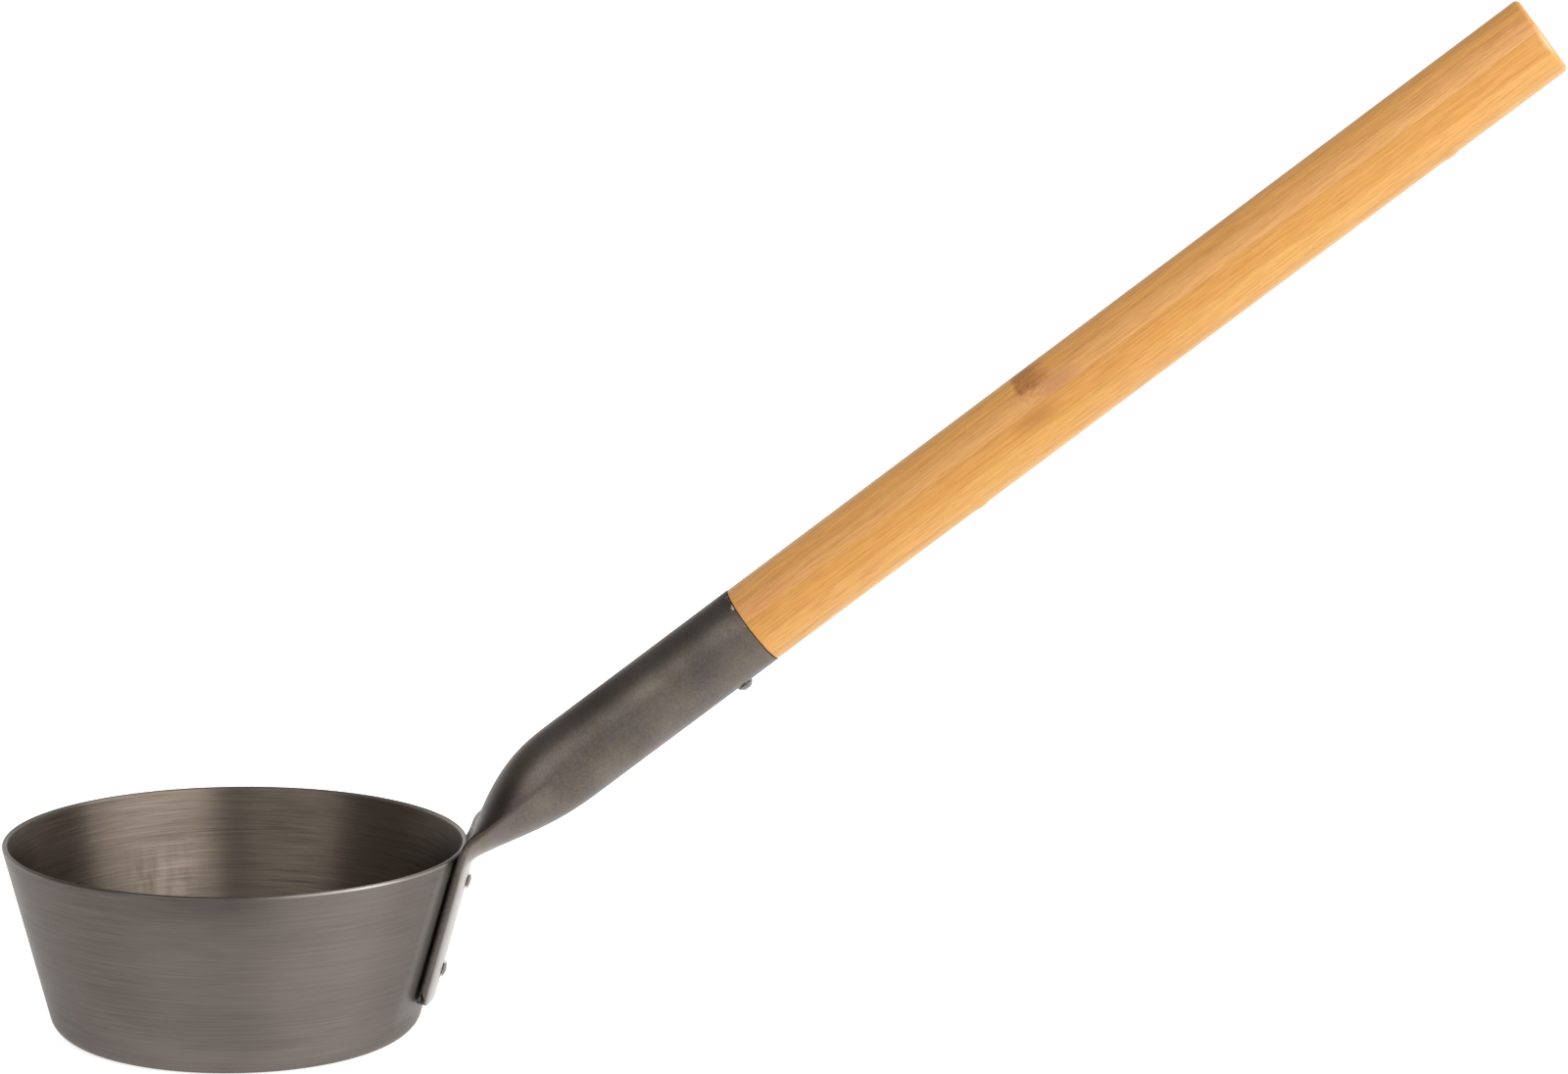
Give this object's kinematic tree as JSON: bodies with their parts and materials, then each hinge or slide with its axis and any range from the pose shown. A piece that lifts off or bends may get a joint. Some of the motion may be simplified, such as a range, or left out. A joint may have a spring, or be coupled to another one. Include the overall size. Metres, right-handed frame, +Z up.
{
  "type": "sauna ladle",
  "caption": "Sauna ladle: a flared steel cup, with a pressed steel tube riveted to its wall and a round laminated bamboo grip screwed into the tube.",
  "frame": {"origin": "centre of the cup's flat base, on the surface that it stands on", "axes": "+Z up the cup's axis; +X from the cup towards the handle; Y across, with the handle's plane on y = 0"},
  "size_m": [0.3947, 0.12, 0.2724],
  "materials": {
    "cup_steel": "dark brushed, lines running round the cup",
    "tube_steel": "dark satin",
    "fastener_steel": "satin",
    "bamboo": "sanded and oiled"
  },
  "bodies": {
    "root": {"cup": "cup_steel", "handle_socket": "tube_steel", "handle_bottom_strip": "bamboo", "handle_lower_strip": "bamboo", "handle_core_strip": "bamboo", "handle_upper_strip": "bamboo", "handle_top_strip": "bamboo", "cup_rivet_upper": "fastener_steel", "cup_rivet_lower": "fastener_steel", "handle_screw": "fastener_steel"}
  },
  "joints": []
}
